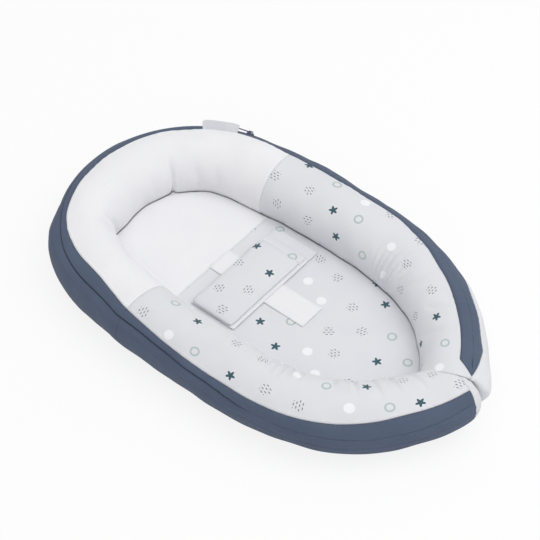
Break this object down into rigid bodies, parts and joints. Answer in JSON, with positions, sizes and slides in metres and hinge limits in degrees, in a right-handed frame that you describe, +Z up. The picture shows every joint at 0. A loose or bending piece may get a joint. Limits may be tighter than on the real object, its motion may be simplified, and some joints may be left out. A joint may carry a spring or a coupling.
{
  "type": "infant lounger",
  "caption": "Infant lounger: a stuffed roll bent into an egg round a thin mattress, open at the foot, with a zipped cover and a padded wrap that folds across the middle.",
  "frame": {"origin": "on the floor, under the middle of the lounger's bounding box", "axes": "+Z up, +Y from the open foot end towards the head, +X towards the side where the wrap is hinged"},
  "size_m": [0.496, 0.8226, 0.115],
  "materials": {
    "white_cloth": "plain-woven cotton, matt",
    "print_cloth": "pale grey cotton with a small scattered print, matt",
    "slate_cloth": "plain-woven slate blue cotton, matt",
    "base_cloth": "plain-woven cotton, matt",
    "fibre": "loose polyester fibre",
    "foam": "soft wadding",
    "loop_tape": "short looped pile",
    "hook_tape": "fine moulded hooks",
    "zip_chain": "moulded coil, satin",
    "zip_metal": "painted die-cast, satin",
    "tag_tape": "woven satin tape, blank"
  },
  "bodies": {
    "root": {"filling_main": "fibre", "head_panel": "white_cloth", "left_print_panel": "print_cloth", "right_print_panel": "print_cloth", "upper_band": "slate_cloth", "lower_band": "slate_cloth", "underside_main": "white_cloth", "zip_chain": "zip_chain", "tag": "tag_tape", "base_panel": "base_cloth", "mattress_head_cover": "white_cloth", "mattress_foot_cover": "print_cloth", "mattress_core": "foam", "mattress_under_cloth": "white_cloth", "loop_strip": "loop_tape", "wrap_anchor": "print_cloth"},
    "left_foot": {"left_foot_filling": "fibre", "left_foot_print_panel": "print_cloth", "left_foot_upper_band": "slate_cloth", "left_foot_lower_band": "slate_cloth", "left_foot_underside": "white_cloth", "left_end_cap": "print_cloth", "left_hook_disc": "hook_tape"},
    "right_foot": {"right_foot_filling": "fibre", "right_foot_print_panel": "print_cloth", "right_foot_upper_band": "slate_cloth", "right_foot_lower_band": "slate_cloth", "right_foot_underside": "white_cloth", "right_end_cap": "print_cloth", "right_loop_disc": "loop_tape"},
    "wrap": {"wrap_pad": "print_cloth", "wrap_lining": "white_cloth", "wrap_hook_patch": "hook_tape"},
    "zip_slider": {"zip_slider": "zip_metal"},
    "zip_pull": {"zip_pull": "zip_metal"}
  },
  "joints": [
    {"name": "left_foot_swing", "type": "hinge", "parent": "root", "child": "left_foot", "pos_m": [-0.23653, -0.14619, 0.054], "axis": [0, 0, -1], "range_deg": [0, 20]},
    {"name": "right_foot_swing", "type": "hinge", "parent": "root", "child": "right_foot", "pos_m": [0.23634, -0.14614, 0.054], "axis": [0, 0, 1], "range_deg": [0, 20]},
    {"name": "wrap_open", "type": "hinge", "parent": "root", "child": "wrap", "pos_m": [0.09108, 0.04033, 0.0366], "axis": [0, 1, 0], "range_deg": [0, 110]},
    {"name": "zip_travel", "type": "hinge", "parent": "root", "child": "zip_slider", "pos_m": [0.00008, 0.17233, 0.095], "axis": [0, 0, 1], "range_deg": [0, 154]},
    {"name": "zip_pull_flip", "type": "hinge", "parent": "zip_slider", "child": "zip_pull", "pos_m": [0.21656, 0.22575, 0.0986], "axis": [0.7403, 0.1827, -0.647], "range_deg": [0, 160]}
  ]
}
